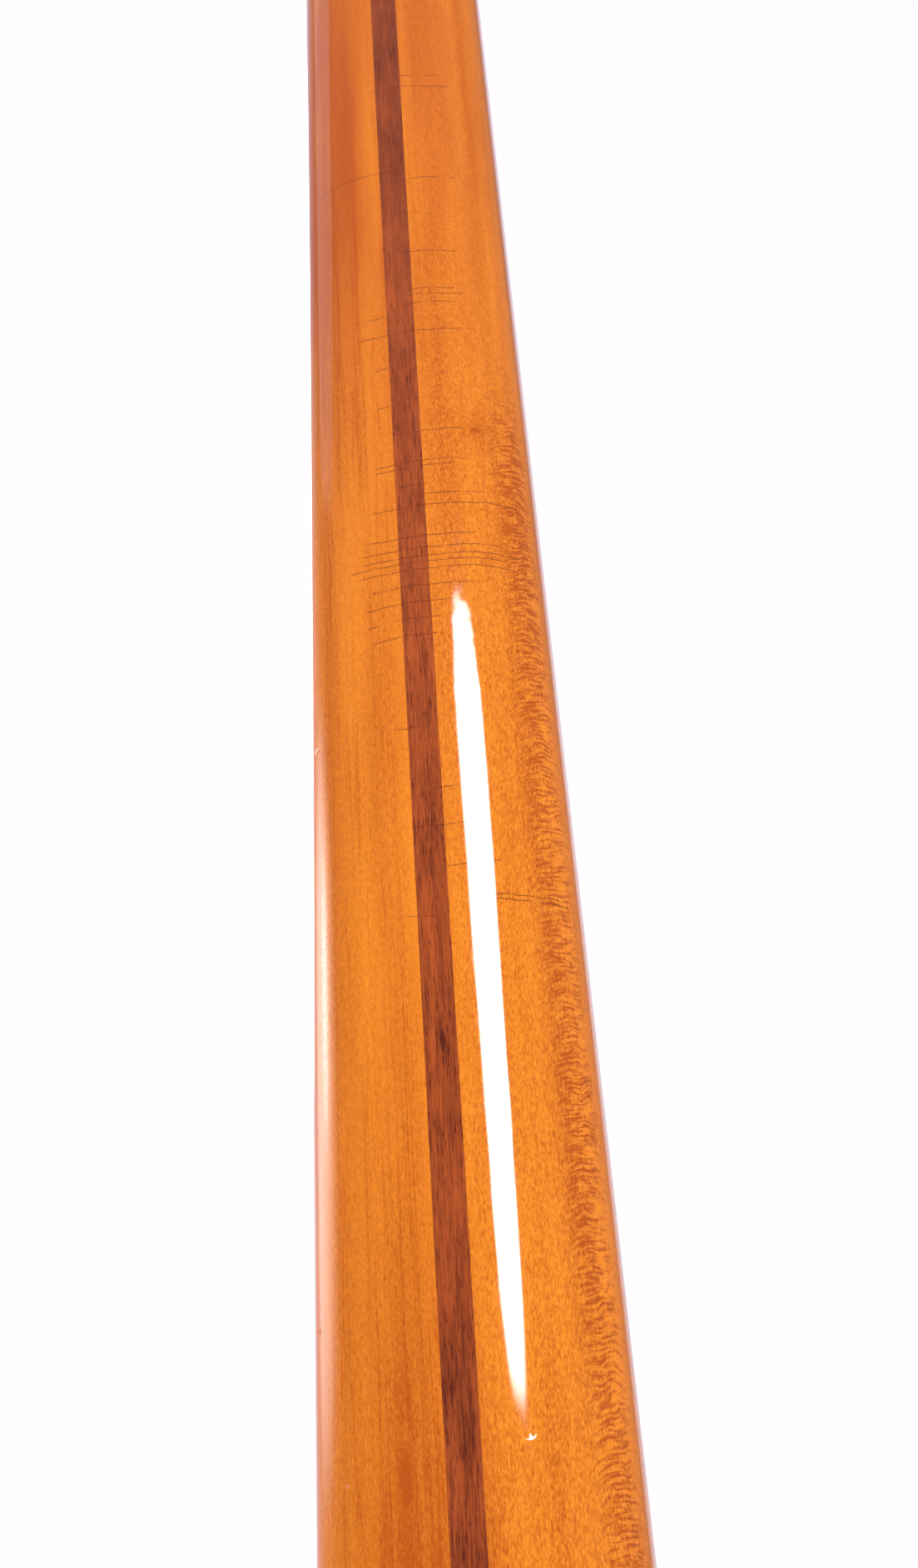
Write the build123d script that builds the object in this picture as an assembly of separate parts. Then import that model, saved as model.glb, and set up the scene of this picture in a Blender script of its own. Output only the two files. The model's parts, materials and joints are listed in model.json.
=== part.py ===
"""Bolt-on electric bass guitar neck with in-line open-gear tuners, in millimetres.

Frame: +Z runs up the neck to the headstock, -Y is the rounded back, +X is the low-string side. The origin is the centre
of the four heel screw holes, on the flat back of the heel.
"""
from build123d import *
import math
import os

# ---- scale and outline -------------------------------------------------------------------------------------------------
scale_length = 864.0
fret_count = 20
board_end_margin = 12.0        # board past the last fret
nut_width = 42.0
heel_width = 63.0
heel_corner_radius = 6.0
heel_end_margin = 38.1         # heel end to the centre of the screw pattern

# ---- neck blank --------------------------------------------------------------------------------------------------------
heel_thickness = 25.4          # heel back to the board's crown
neck_thickness_nut = 21.0
neck_thickness_12 = 23.0
back_exponent = 2.3            # 2 is an ellipse, larger is squarer
block_exponent = 6.0           # heel block and headstock root
block_side_spare = 1.5         # extra before the flat sides are trimmed
block_back_spare = 2.5         # extra before the flat back is trimmed
heel_flat_length = 46.0        # flat of the heel above the screw pattern's centre
heel_blend_length = 56.0
head_blend_below = 14.0        # the round back starts to square off this far below the nut
head_root_length = 26.0        # squared root of the headstock above the nut

# ---- fingerboard -------------------------------------------------------------------------------------------------------
board_thickness = 6.0
board_radius = 241.0
board_lip = 4.3                # board past the string nut
face_dot_diameter = 6.4
side_dot_diameter = 2.3
dot_depth = 1.8
side_dot_depth = 2.5
side_dot_pair_gap = 7.0
dot_frets = (3, 5, 7, 9, 12, 15, 17, 19)
octave_fret = 12

# ---- frets and string nut ----------------------------------------------------------------------------------------------
fret_crown_width = 2.5
fret_crown_height = 1.2
fret_tang_width = 0.56
fret_tang_depth = 1.6
fret_slot_clearance = 0.04
fret_slot_spare_depth = 0.3
fret_end_inset = 0.3
fret_end_bevel = 35.0
slot_end_inset = 1.2
string_nut_thickness = 3.2
string_nut_seat = 3.0          # depth of its slot below the crown
string_nut_rise = 1.8          # height above the crown
string_gauges = (2.7, 2.2, 1.7, 1.3)
string_spread = 31.0           # outer string to outer string at the nut

# ---- truss rod and stripe ----------------------------------------------------------------------------------------------
stripe_width = 6.0
stripe_from_heel_end = 26.0
stripe_from_nut = 12.0
rod_diameter = 4.8
rod_end_below_board = 6.9      # rod axis below the glue plane, at both ends
rod_middle_below_board = 10.2
rod_clearance = 0.1
rod_past_nut = 14.0
truss_nut_diameter = 10.0
truss_nut_length = 11.0
truss_nut_recess = 1.0
truss_nut_slot_width = 1.8
truss_nut_slot_depth = 3.0
truss_nut_gap = 0.2
truss_hole_diameter = 12.0
washer_diameter = 11.6
washer_thickness = 1.6
anchor_diameter = 9.0
anchor_length = 11.0
plug_diameter = 9.5
plug_length = 16.0
plug_start = 1.2               # plug's foot, past the rod's end
anchor_past_rod = 1.0
running_clearance = 0.05

# ---- heel screws -------------------------------------------------------------------------------------------------------
heel_hole_diameter = 3.3
heel_hole_depth = 16.0
heel_hole_spacing_x = 38.1
heel_hole_spacing_z = 50.8

# ---- headstock ---------------------------------------------------------------------------------------------------------
head_thickness = 15.0
head_drop = 5.0                # head face below the glue plane
head_scoop_radius = 30.0
head_edge_radius = 1.6
head_bass_reach = 19.0         # tuner row to the low-string edge
head_treble_reach = 19.5       # last tuner to the far edge
head_tip_reach = 31.0          # last tuner to the tip
head_horn_start = 20.0         # low-string horn, before the first tuner
head_tip_cut = 6.0             # corner cut off the tip along the row
head_tip_slope = 17.0          # and across it
head_tip_slant = 8.0           # far corner of the tip, back from the near one
head_waist_swell = 6.5         # far side, past the nut's width beside the first tuner
head_shoulder = 4.0            # straight sides above the squared root
head_overlap = 3.0             # plate let into the squared root
head_corner_radii = (0, 0, 9, 11, 13, 20, 14, 60, 30)

# ---- tuners ------------------------------------------------------------------------------------------------------------
tuner_count = 4
tuner_pitch = 44.0
tuner_row_tilt = 12.0
first_tuner_x = 20.6
first_tuner_past_nut = 60.0
plate_thickness = 1.6
plate_inner = 15.0             # plate past the post, away from the button
plate_outer = 14.0             # plate past the post, towards the button
plate_low = 15.0
plate_past_ears = 7.3          # plate beyond the worm shaft's bearing ears
plate_corner_radius = 3.5
gear_module = 0.9
gear_teeth = 20
gear_width = 4.5
gear_hub_diameter = 11.0
worm_ratio = 10.0              # worm pitch diameter in modules
worm_turns = 4
thread_backlash = 0.22         # taken off each flank
worm_plate_gap = 0.4
ear_thickness = 3.0
ear_gap = 0.3                  # between the worm and each ear
ear_width = 8.4
journal_diameter = 5.2
post_diameter = 12.6
post_journal_diameter = 9.0
post_height = 15.0             # above the headstock face
post_waist_depth = 1.1
post_slot_width = 2.6
post_slot_depth = 6.5
post_hole_diameter = 3.2
post_hole_depth = 13.0
post_drive_square = 5.6
bushing_diameter = 15.4
bushing_flange_diameter = 19.0
bushing_flange_thickness = 1.5
bushing_depth = 10.0
gear_screw_diameter = 3.0
gear_screw_length = 7.0
gear_screw_head_diameter = 7.6
gear_screw_head_height = 1.8
button_start = 21.5            # post axis to the button's collar
button_collar_length = 5.0
button_collar_diameter = 7.4
button_lobe_diameter = 13.0
button_lobe_spread = 12.0
button_thickness = 3.2
button_edge_radius = 1.1
screw_diameter = 2.8
screw_length = 11.0
screw_head_diameter = 5.4
screw_head_height = 1.9
screw_slot_width = 0.9
screw_inset = 3.8

# ---- string tree -------------------------------------------------------------------------------------------------------
tree_past_nut = 82.0
tree_x = -6.6
tree_diameter = 14.0
tree_thickness = 2.2
tree_stem_diameter = 7.0
tree_stem_height = 4.0

# ---- derived -----------------------------------------------------------------------------------------------------------
glue_y = heel_thickness - board_thickness
crown_y = heel_thickness
head_face_y = glue_y - head_drop
head_back_y = head_face_y - head_thickness
far = 60.0                     # past every surface, for cutters


def fret_distance(number):
    """Distance of a fret from the string nut's front face."""
    return scale_length * (1.0 - 2.0 ** (-number / 12.0))


board_length = fret_distance(fret_count) + board_end_margin
heel_end_z = -heel_end_margin
nut_z = heel_end_z + board_length
board_top_z = nut_z + string_nut_thickness + board_lip
root_top_z = nut_z + head_root_length
blend_top_z = heel_flat_length + heel_blend_length
heel_half_x = heel_width / 2
nut_half_x = nut_width / 2
gear_radius = gear_module * gear_teeth / 2
worm_radius = gear_module * worm_ratio / 2
worm_pitch = math.pi * gear_module
worm_root_radius = worm_radius - 1.2 * gear_module
worm_tip_radius = worm_radius + gear_module
worm_half = worm_pitch * worm_turns / 2 + 0.6
mesh_distance = gear_radius + worm_radius
plate_high = mesh_distance + ear_width / 2 + plate_past_ears
mesh_y = -(plate_thickness + worm_plate_gap + worm_tip_radius)
lead_angle = math.degrees(math.atan(worm_pitch / (2 * math.pi * worm_radius)))


def half_width(z):
    """Half the neck's width: a straight taper from heel to nut, then parallel."""
    share = min(1.0, (z - heel_end_z) / board_length)
    return heel_half_x + (nut_half_x - heel_half_x) * share


def smooth(share):
    share = max(0.0, min(1.0, share))
    return share * share * (3.0 - 2.0 * share)


def mix(low, high, share):
    return low + (high - low) * share


def section_values(z):
    """Half width, back level and exponent of the untrimmed blank at a height."""
    grown = (neck_thickness_12 - neck_thickness_nut) * (nut_z - z) / (scale_length / 2)
    back = crown_y - neck_thickness_nut - grown
    heel = smooth((blend_top_z - z) / heel_blend_length)
    head = smooth((z - nut_z + head_blend_below) / (head_blend_below + head_root_length))
    square = max(heel, head)
    block_back = head_back_y if head > heel else 0.0
    back = mix(back, block_back - block_back_spare, square)
    half = half_width(z) + block_side_spare * square
    return half, back, mix(back_exponent, block_exponent, square)


def blank_section(z):
    """Closed section of the blank: a flat glue face and one smooth curve round the back."""
    half, back, power = section_values(z)
    depth = glue_y - back
    steps = 20
    points = []
    for i in range(steps + 1):
        turn = math.pi * i / steps
        across, down = abs(math.cos(turn)), math.sin(turn)
        reach = ((across / half) ** power + (down / depth) ** power) ** (-1.0 / power)
        points.append((reach * math.cos(turn), glue_y - reach * down))
    points[0], points[-1] = (half, glue_y), (-half, glue_y)
    curve = Spline(*points, tangents=((0, -1), (0, 1)))
    outline = curve + Line((-half, glue_y), (half, glue_y))
    return Plane.XY.offset(z) * make_face(outline)


def blank_stretch(low_z, high_z, steps, straight):
    """One stretch of the blank between two heights, straight or blended through its sections."""
    sections = [blank_section(mix(low_z, high_z, i / steps)) for i in range(steps + 1)]
    return loft(sections, ruled=straight)


def extruded_x(face):
    return extrude(face, amount=far, both=True)


def plan_outline(top_z):
    """Outline of the neck in plan, from the heel end up to a height, extruded through."""
    points = [(-heel_half_x, heel_end_z), (heel_half_x, heel_end_z), (nut_half_x, nut_z)]
    points += [(nut_half_x, top_z), (-nut_half_x, top_z), (-nut_half_x, nut_z)]
    face = make_face(Polyline(*points, close=True))
    corners = face.vertices().sort_by(Axis.Y)[:2]
    face = fillet(corners, heel_corner_radius)
    return extrude(Plane.XZ * face, amount=far, both=True)


def side_profile():
    """Side view of the blank's limits: heel flat, head back, glue face and the scoop down to the head face."""
    run = math.sqrt(head_scoop_radius ** 2 - (head_scoop_radius - head_drop) ** 2)
    bend_y = glue_y - head_scoop_radius
    half_turn = math.acos((head_scoop_radius - head_drop) / head_scoop_radius) / 2
    middle = (bend_y + head_scoop_radius * math.cos(half_turn), board_top_z + head_scoop_radius * math.sin(half_turn))
    tip_z = nut_z + scale_length
    middle_z = (blend_top_z + nut_z) / 2
    lines = Polyline((glue_y, board_top_z), (glue_y, heel_end_z), (0, heel_end_z), (0, middle_z))
    lines += Polyline((0, middle_z), (head_back_y, middle_z), (head_back_y, tip_z), (head_face_y, tip_z))
    lines += Line((head_face_y, tip_z), (head_face_y, board_top_z + run))
    lines += ThreePointArc((head_face_y, board_top_z + run), middle, (glue_y, board_top_z))
    return extruded_x(Plane.YZ * make_face(lines))


def row_point(along, out):
    """A point of the headstock in plan, from distances along and out from the tuner row."""
    tilt = math.radians(tuner_row_tilt)
    x = first_tuner_x - along * math.sin(tilt) + out * math.cos(tilt)
    z = nut_z + first_tuner_past_nut + along * math.cos(tilt) + out * math.sin(tilt)
    return x, z


def head_plate():
    """Flat plate of the headstock with softened edges."""
    last = tuner_pitch * (tuner_count - 1)
    start_z, shoulder_z = root_top_z - head_overlap, root_top_z + head_shoulder
    points = [
        (-nut_half_x, start_z), (nut_half_x, start_z), (nut_half_x, shoulder_z),
        row_point(-head_horn_start, head_bass_reach), row_point(last + head_tip_reach - head_tip_cut, head_bass_reach),
        row_point(last + head_tip_reach, head_bass_reach - head_tip_slope),
        row_point(last + head_tip_reach - head_tip_slant, -head_treble_reach),
        (-nut_half_x - head_waist_swell, nut_z + first_tuner_past_nut), (-nut_half_x, shoulder_z),
    ]
    face = make_face(Polyline(*points, close=True))
    for point, radius in zip(points, head_corner_radii):
        if radius:
            corner = face.vertices().sort_by_distance(Vector(point[0], point[1], 0))[0]
            face = fillet(corner, radius)
    plate = extrude(Plane.XZ.offset(-head_back_y) * face, amount=-head_thickness)
    rims = [e for e in plate.edges() if abs(e.bounding_box().size.Y) < 0.01]
    rims = [e for e in rims if e.center().Z > start_z + 0.5]
    return fillet(rims, head_edge_radius)


# ---- truss rod ---------------------------------------------------------------------------------------------------------
def rod_arc(shift=0.0):
    """Centre line of the rod, lowest towards the back at its middle, moved by a shift in Y."""
    low_z, high_z = heel_end_z, nut_z + rod_past_nut
    end_y = glue_y - rod_end_below_board + shift
    middle_y = glue_y - rod_middle_below_board + shift
    return ThreePointArc((0, end_y, low_z), (0, middle_y, (low_z + high_z) / 2), (0, end_y, high_z))


def rod_ends():
    """Planes at the rod's heel end and head end, each with its normal up the neck."""
    arc = rod_arc()
    low = Plane(origin=arc @ 0, x_dir=(1, 0, 0), z_dir=arc % 0)
    high = Plane(origin=arc @ 1, x_dir=(1, 0, 0), z_dir=arc % 1)
    return low, high


def column(plane, diameter, low, high):
    """Round column along a plane's normal, between two distances from it."""
    return plane * Pos(0, 0, (low + high) / 2) * Cylinder(diameter / 2, high - low)


def swept_rod(diameter):
    low, _ = rod_ends()
    return sweep(low * Circle(diameter / 2), path=rod_arc())


def channel(shift):
    """Slot from the back up to a curved floor, with round ends in plan."""
    low_z = heel_end_z + stripe_from_heel_end
    high_z = nut_z - stripe_from_nut
    arc = rod_arc(shift)
    low, high = arc @ 0, arc @ 1
    outline = arc + Polyline(high, (0, -far, high.Z), (0, -far, low.Z), low)
    slab = extrude(make_face(outline), amount=stripe_width / 2, both=True)
    middle = Plane.XZ * Pos(0, (low_z + high_z) / 2)
    plan = middle * SlotOverall(high_z - low_z, stripe_width, rotation=90)
    return slab & extrude(plan, amount=2 * far, both=True)


def plug_column(start, end):
    """Round-ended column of the plug, from a start to an end past the rod."""
    _, high = rod_ends()
    radius = plug_diameter / 2
    return column(high, plug_diameter, start, end - radius) + high * Pos(0, 0, end - radius) * Sphere(radius)


anchor_low = anchor_past_rod - anchor_length
truss_floor = truss_nut_recess + truss_nut_length + truss_nut_gap + washer_thickness


def make_truss_parts(raw):
    """Rod, anchor, plug, washer and adjusting nut."""
    low, high = rod_ends()
    slots_end = truss_nut_recess + truss_nut_slot_depth
    rod = swept_rod(rod_diameter) - column(low, truss_hole_diameter, -far, slots_end + 0.5)
    anchor = column(high, anchor_diameter, anchor_low, anchor_past_rod)
    anchor -= column(high, rod_diameter + 2 * rod_clearance, -far, 0.2)
    plug = plug_column(plug_start, plug_length) & raw
    washer = column(low, washer_diameter, truss_floor - washer_thickness, truss_floor)
    washer -= column(low, rod_diameter + 4 * rod_clearance, 0, far)
    nut = column(low, truss_nut_diameter, truss_nut_recess, truss_nut_recess + truss_nut_length)
    nut = chamfer(nut.edges().group_by(Axis.Z)[0], 0.6)
    nut -= column(low, rod_diameter + 2 * running_clearance, slots_end - 0.5, far)
    for turn in (0, 90):
        slot = Box(truss_nut_diameter + 1, truss_nut_slot_width, 2 * truss_nut_slot_depth)
        nut -= low * Pos(0, 0, truss_nut_recess) * Rot(0, 0, turn) * slot
    return {
        "truss_rod": rod, "truss_rod_anchor": anchor, "headstock_plug": plug,
        "truss_rod_washer": washer, "truss_rod_nut": nut,
    }


# ---- neck blank and stripe ---------------------------------------------------------------------------------------------
def tuner_places():
    """Location of each tuner: origin where its post meets the head's back, X towards its button."""
    places = []
    for i in range(tuner_count):
        x, z = row_point(i * tuner_pitch, 0)
        places.append(Location((x, head_back_y, z), (0, -tuner_row_tilt, 0)))
    return places


def plate_screw_places():
    """Corners of a tuner's base plate where its screws go, as x and z in the tuner's own frame."""
    xs = (-plate_inner + screw_inset, plate_outer - screw_inset)
    zs = (-plate_low + screw_inset, plate_high - screw_inset)
    return [(x, z) for x in xs for z in zs]


def raw_blank():
    """Heel block, heel blend, shaft and headstock root in one piece with the head plate, before any hole."""
    shaft_top_z = nut_z - head_blend_below
    shaft = blank_stretch(heel_end_z, heel_flat_length, 1, True)
    shaft += blank_stretch(heel_flat_length, blend_top_z, 9, False)
    shaft += blank_stretch(blend_top_z, shaft_top_z, 3, True)
    shaft += blank_stretch(shaft_top_z, root_top_z, 8, False)
    shaft &= plan_outline(root_top_z)
    return (shaft + head_plate()) & side_profile()


def along_y(radius, low, high):
    """Round column along Y between two levels."""
    return Pos(0, (low + high) / 2, 0) * Rot(90, 0, 0) * Cylinder(radius, high - low)


def make_blank(raw):
    low, high = rod_ends()
    blank = raw - channel(rod_diameter / 2 + rod_clearance)
    blank -= swept_rod(rod_diameter + 4 * rod_clearance)
    blank -= column(low, truss_hole_diameter, -far, truss_floor)
    blank -= column(high, plug_diameter, anchor_low - 0.3, 2.0)
    blank -= plug_column(plug_start, plug_length)
    for x in (-heel_hole_spacing_x / 2, heel_hole_spacing_x / 2):
        for z in (-heel_hole_spacing_z / 2, heel_hole_spacing_z / 2):
            blank -= Pos(x, 0, z) * along_y(heel_hole_diameter / 2, -1.0, heel_hole_depth)
    for place in tuner_places():
        blank -= place * along_y(bushing_diameter / 2, -1.0, head_thickness + 1.0)
        for x, z in plate_screw_places():
            blank -= place * Pos(x, 0, z) * along_y(screw_diameter / 2, -1.0, screw_length)
    blank -= tree_place() * along_y(screw_diameter / 2, -screw_length, 1.0)
    return blank


def make_stripe(raw):
    return raw & channel(-rod_diameter / 2 - rod_clearance)


# ---- fingerboard, dots, string nut, frets ------------------------------------------------------------------------------
def crown_cylinder(radius):
    height = 2 * scale_length
    return Pos(0, crown_y - board_radius, 0) * Cylinder(radius, height)


def raw_board():
    slab = Pos(0, glue_y + far / 2, 0) * Box(2 * far, far, 3 * scale_length)
    return plan_outline(board_top_z) & slab & crown_cylinder(board_radius)


def between_frets_z(number):
    return nut_z - (fret_distance(number) + fret_distance(number - 1)) / 2


def dot_columns():
    """Columns that cut the face dots and side dots, before trimming to the board."""
    faces, sides = [], []
    for number in dot_frets:
        z = between_frets_z(number)
        paired = number == octave_fret
        spread = half_width(z) / 2 if paired else 0.0
        gap = side_dot_pair_gap / 2 if paired else 0.0
        for sign in (-1, 1) if paired else (1,):
            face = Pos(sign * spread, 0, z) * along_y(face_dot_diameter / 2, crown_y - dot_depth, crown_y + 1.0)
            level = (glue_y + edge_y(z)) / 2
            side = Rot(0, 90, 0) * Cylinder(side_dot_diameter / 2, 2 * side_dot_depth)
            faces.append(face)
            sides.append(Pos(half_width(z), level, z + sign * gap) * side)
    return faces, sides


def edge_y(z):
    """Level of the board's top edge at a height."""
    return crown_y - board_radius + math.sqrt(board_radius ** 2 - half_width(z) ** 2)


def crown_sweep(face, half_x):
    """Profile at X = 0 turned about the board's centre line to a half width on each side."""
    turn = math.degrees(math.asin(half_x / board_radius))
    line = Axis((0, crown_y - board_radius, 0), (0, 0, 1))
    return revolve(face.rotate(line, -turn), axis=line, revolution_arc=2 * turn)


def fret_slot(number):
    z = nut_z - fret_distance(number)
    depth = fret_tang_depth + fret_slot_spare_depth
    slot = Pos(crown_y - depth / 2 + 0.5, z) * Rectangle(depth + 1.0, fret_tang_width + 2 * fret_slot_clearance)
    return crown_sweep(Plane.YZ * slot, half_width(z) - slot_end_inset)


def make_fret(number):
    """Domed fret wire with its tang, ends bevelled inside the board's edge."""
    z = nut_z - fret_distance(number)
    half_crown = fret_crown_width / 2
    dome = ThreePointArc((crown_y, z - half_crown), (crown_y + fret_crown_height, z), (crown_y, z + half_crown))
    dome += Line((crown_y, z + half_crown), (crown_y, z - half_crown))
    half = half_width(z)
    bead = crown_sweep(Plane.YZ * make_face(dome), half)
    base = edge_y(z) - 1.0
    rise = 2.0 + fret_crown_height + board_thickness
    inset = fret_end_inset + rise * math.tan(math.radians(fret_end_bevel))
    low_x, high_x = half - fret_end_inset, half - inset
    trim = Polyline((-low_x, base), (low_x, base), (high_x, base + rise), (-high_x, base + rise), close=True)
    bead &= extrude(Plane.XY.offset(z - fret_crown_width) * make_face(trim), amount=2 * fret_crown_width)
    tang = Pos(crown_y - fret_tang_depth / 2, z) * Rectangle(fret_tang_depth, fret_tang_width)
    return bead + crown_sweep(Plane.YZ * tang, half - slot_end_inset - 0.2)


def string_nut_block(height_above):
    low_y = crown_y - string_nut_seat
    block = Box(nut_width, string_nut_seat + far, string_nut_thickness)
    block = Pos(0, low_y + (string_nut_seat + far) / 2, nut_z + string_nut_thickness / 2) * block
    return block & crown_cylinder(board_radius + height_above)


def make_string_nut():
    nut = string_nut_block(string_nut_rise)
    for i, gauge in enumerate(string_gauges):
        x = string_spread / 2 - i * string_spread / (len(string_gauges) - 1)
        groove = Cylinder(gauge / 2, 3 * string_nut_thickness)
        top = crown_y + string_nut_rise - (x * x) / (2 * board_radius)
        nut -= Pos(x, top, nut_z) * groove
    return nut


def make_board_parts():
    """Fingerboard with its slots, the dots let into it, the string nut and every fret."""
    raw = raw_board()
    faces, sides = dot_columns()
    board = raw - string_nut_block(far / 4)
    parts = {}
    parts["face_dots"] = Compound([dot & raw for dot in faces])
    parts["side_dots"] = Compound([dot & raw for dot in sides])
    for dot in faces + sides:
        board -= dot
    for number in range(1, fret_count + 1):
        board -= fret_slot(number)
        parts[f"fret_{number:02d}"] = make_fret(number)
    parts["fingerboard"] = board
    parts["string_nut"] = make_string_nut()
    return parts


# ---- tuners, each in its own frame: X to the button, +Y to the head's face, Z along the row ----------------------------
def make_plate():
    """Base plate with its post hole, screw holes and two bearing ears for the worm shaft."""
    width, height = plate_inner + plate_outer, plate_low + plate_high
    centre = ((plate_outer - plate_inner) / 2, (plate_high - plate_low) / 2)
    face = Plane.XZ * Pos(*centre) * RectangleRounded(width, height, plate_corner_radius)
    plate = extrude(face, amount=plate_thickness)
    shaft = Plane(origin=(0, mesh_y, mesh_distance), x_dir=(0, 0, 1), z_dir=(1, 0, 0))
    for side in (-1, 1):
        middle = side * (worm_half + ear_gap + ear_thickness / 2)
        ear = Box(ear_thickness, -mesh_y, ear_width)
        ear = Pos(middle, mesh_y / 2, mesh_distance) * ear
        plate += ear + column(shaft, ear_width, middle - ear_thickness / 2, middle + ear_thickness / 2)
    plate -= column(shaft, journal_diameter + 2 * running_clearance, -far, far)
    plate -= along_y(post_journal_diameter / 2 + running_clearance, -far, 1.0)
    for x, z in plate_screw_places():
        plate -= Pos(x, 0, z) * along_y(screw_diameter / 2 + 0.1, -far, 1.0)
    return plate & Pos(0, -far / 2, 0) * Box(4 * far, far, 4 * far)


def make_worm_shaft():
    """Worm with a real thread, its two journals and the shaft out to the button."""
    helix = Helix(worm_pitch, worm_pitch * worm_turns, worm_root_radius - 0.2)
    thick = worm_pitch / 2 - 2 * thread_backlash
    slope = math.tan(math.radians(20))
    foot = thick / 2 + slope * (worm_radius - worm_root_radius + 0.2)
    top = thick / 2 - slope * gear_module
    base, crest = worm_root_radius - 0.2, worm_tip_radius
    profile = Polyline((base, -foot), (crest, -top), (crest, top), (base, foot), close=True)
    thread = sweep(Plane.XZ * make_face(profile), path=helix, is_frenet=True)
    thread = Pos(0, 0, -worm_pitch * worm_turns / 2) * thread
    worm = thread + Cylinder(worm_root_radius, 2 * worm_half)
    worm &= Cylinder(worm_tip_radius + 1.0, 2 * worm_half)
    inner = worm_half + ear_gap + ear_thickness + 0.8
    outer = button_start + button_collar_length - 0.5
    shaft = Pos(0, 0, (outer - inner) / 2) * Cylinder(journal_diameter / 2, outer + inner)
    shaft = chamfer(shaft.edges().group_by(Axis.Z)[0], 0.5)
    frame = Plane(origin=(0, mesh_y, mesh_distance), x_dir=(0, 0, -1), z_dir=(1, 0, 0))
    return frame * (worm + shaft)


def make_button():
    """Three-lobed finger button with a round collar."""
    start = button_start + button_collar_length
    lobe = button_lobe_diameter / 2
    near_x, far_x = start + lobe - 1.5, start + lobe + 7.5
    face = Pos(near_x, button_lobe_spread / 2) * Circle(lobe) + Pos(near_x, -button_lobe_spread / 2) * Circle(lobe)
    face += Pos(far_x, 0) * Circle(lobe)
    face = fillet(face.vertices(), 2.5)
    plane = Plane(origin=(0, mesh_y, mesh_distance), x_dir=(1, 0, 0), z_dir=(0, -1, 0))
    paddle = extrude(plane * face, amount=button_thickness / 2, both=True)
    paddle = fillet(paddle.edges(), button_edge_radius)
    axis = Plane(origin=(0, mesh_y, mesh_distance), x_dir=(0, 0, -1), z_dir=(1, 0, 0))
    collar = column(axis, button_collar_diameter, button_start, start + 2.0)
    collar = chamfer(collar.edges().group_by(Axis.X)[0], 0.6)
    return paddle + collar - column(axis, journal_diameter, 0, start - 0.5)


def make_gear():
    """Worm wheel: hub, square bore and slanted tooth gaps that match the worm's lead."""
    low_y, high_y = mesh_y - gear_width / 2, mesh_y + gear_width / 2
    tip, root = gear_radius + gear_module, gear_radius - 1.2 * gear_module
    gear = along_y(tip, low_y, high_y)
    gap = worm_pitch / 2
    slope = math.tan(math.radians(20))
    outer = gap / 2 + slope * (gear_module + 0.5)
    inner = gap / 2 - slope * 1.2 * gear_module
    profile = Polyline((-inner, root), (inner, root), (outer, tip + 0.5), (-outer, tip + 0.5), close=True)
    cutter = extrude(Plane.XY * make_face(profile), amount=2 * gear_width, both=True)
    cutter = Pos(0, mesh_y, 0) * Rot(0, 0, -lead_angle) * Rot(90, 0, 0) * cutter
    cutters = [Rot(0, 360 * i / gear_teeth, 0) * cutter for i in range(gear_teeth)]
    gear = gear - cutters
    gear += along_y(gear_hub_diameter / 2, high_y, -plate_thickness - 0.1)
    return gear - Pos(0, low_y, 0) * Box(post_drive_square, far, post_drive_square)


def make_post():
    """String post: slotted waisted top, bearing for the base plate, square drive for the gear."""
    radius = post_diameter / 2
    face_y = head_thickness + bushing_flange_thickness
    top = head_thickness + post_height
    waist = (radius - post_waist_depth, (face_y + 1.5 + top - 2.0) / 2)
    side = Polyline((0, 0.1), (radius, 0.1), (radius, face_y + 1.5))
    side += ThreePointArc((radius, face_y + 1.5), waist, (radius, top - 2.0))
    side += Polyline((radius, top - 2.0), (radius, top - 0.8), (radius - 0.8, top), (0, top), (0, 0.1))
    post = revolve(make_face(side), axis=Axis.Y)
    post += along_y(post_journal_diameter / 2, -plate_thickness - 0.1, 0.2)
    low_y = mesh_y - gear_width / 2
    drive = -plate_thickness - 0.1 - low_y
    post += Pos(0, low_y + drive / 2, 0) * Box(post_drive_square, drive, post_drive_square)
    post -= Pos(0, top, 0) * Box(4 * radius, 2 * post_slot_depth, post_slot_width)
    post -= along_y(post_hole_diameter / 2, top - post_hole_depth, top + 1.0)
    return post - along_y(gear_screw_diameter / 2, low_y - 1.0, low_y + gear_screw_length)


def make_gear_screw():
    low_y = mesh_y - gear_width / 2
    screw = along_y(gear_screw_diameter / 2, low_y - 0.1, low_y + gear_screw_length)
    head = along_y(gear_screw_head_diameter / 2, low_y - gear_screw_head_height, low_y)
    head = fillet(head.edges().group_by(Axis.Y)[0], 0.8)
    slot = Box(gear_screw_head_diameter, 1.6, 1.0)
    return screw + head - Pos(0, low_y - gear_screw_head_height, 0) * slot


def make_bushing():
    face_y = head_thickness
    bushing = along_y(bushing_diameter / 2, face_y - bushing_depth, face_y)
    flange = along_y(bushing_flange_diameter / 2, face_y, face_y + bushing_flange_thickness)
    flange = fillet(flange.edges().group_by(Axis.Y)[-1], 0.7)
    return bushing + flange - along_y(post_diameter / 2 + running_clearance, 0, 2 * far)


def make_plate_screw(seat_y):
    """Round-head wood screw with a cross slot, its head on the low side of a seat level."""
    shank = along_y(screw_diameter / 2, seat_y - 0.1, screw_length - 2.5)
    point = Pos(0, screw_length - 1.25, 0) * Rot(-90, 0, 0) * Cone(screw_diameter / 2, 0.3, 2.5)
    head = along_y(screw_head_diameter / 2, seat_y - screw_head_height, seat_y)
    head = fillet(head.edges().group_by(Axis.Y)[0], screw_head_height * 0.8)
    screw = shank + point + head
    for turn in (0, 90):
        slot = Box(screw_head_diameter * 0.7, 1.8, screw_slot_width)
        screw -= Pos(0, seat_y - screw_head_height, 0) * Rot(0, turn, 0) * slot
    return screw


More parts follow.
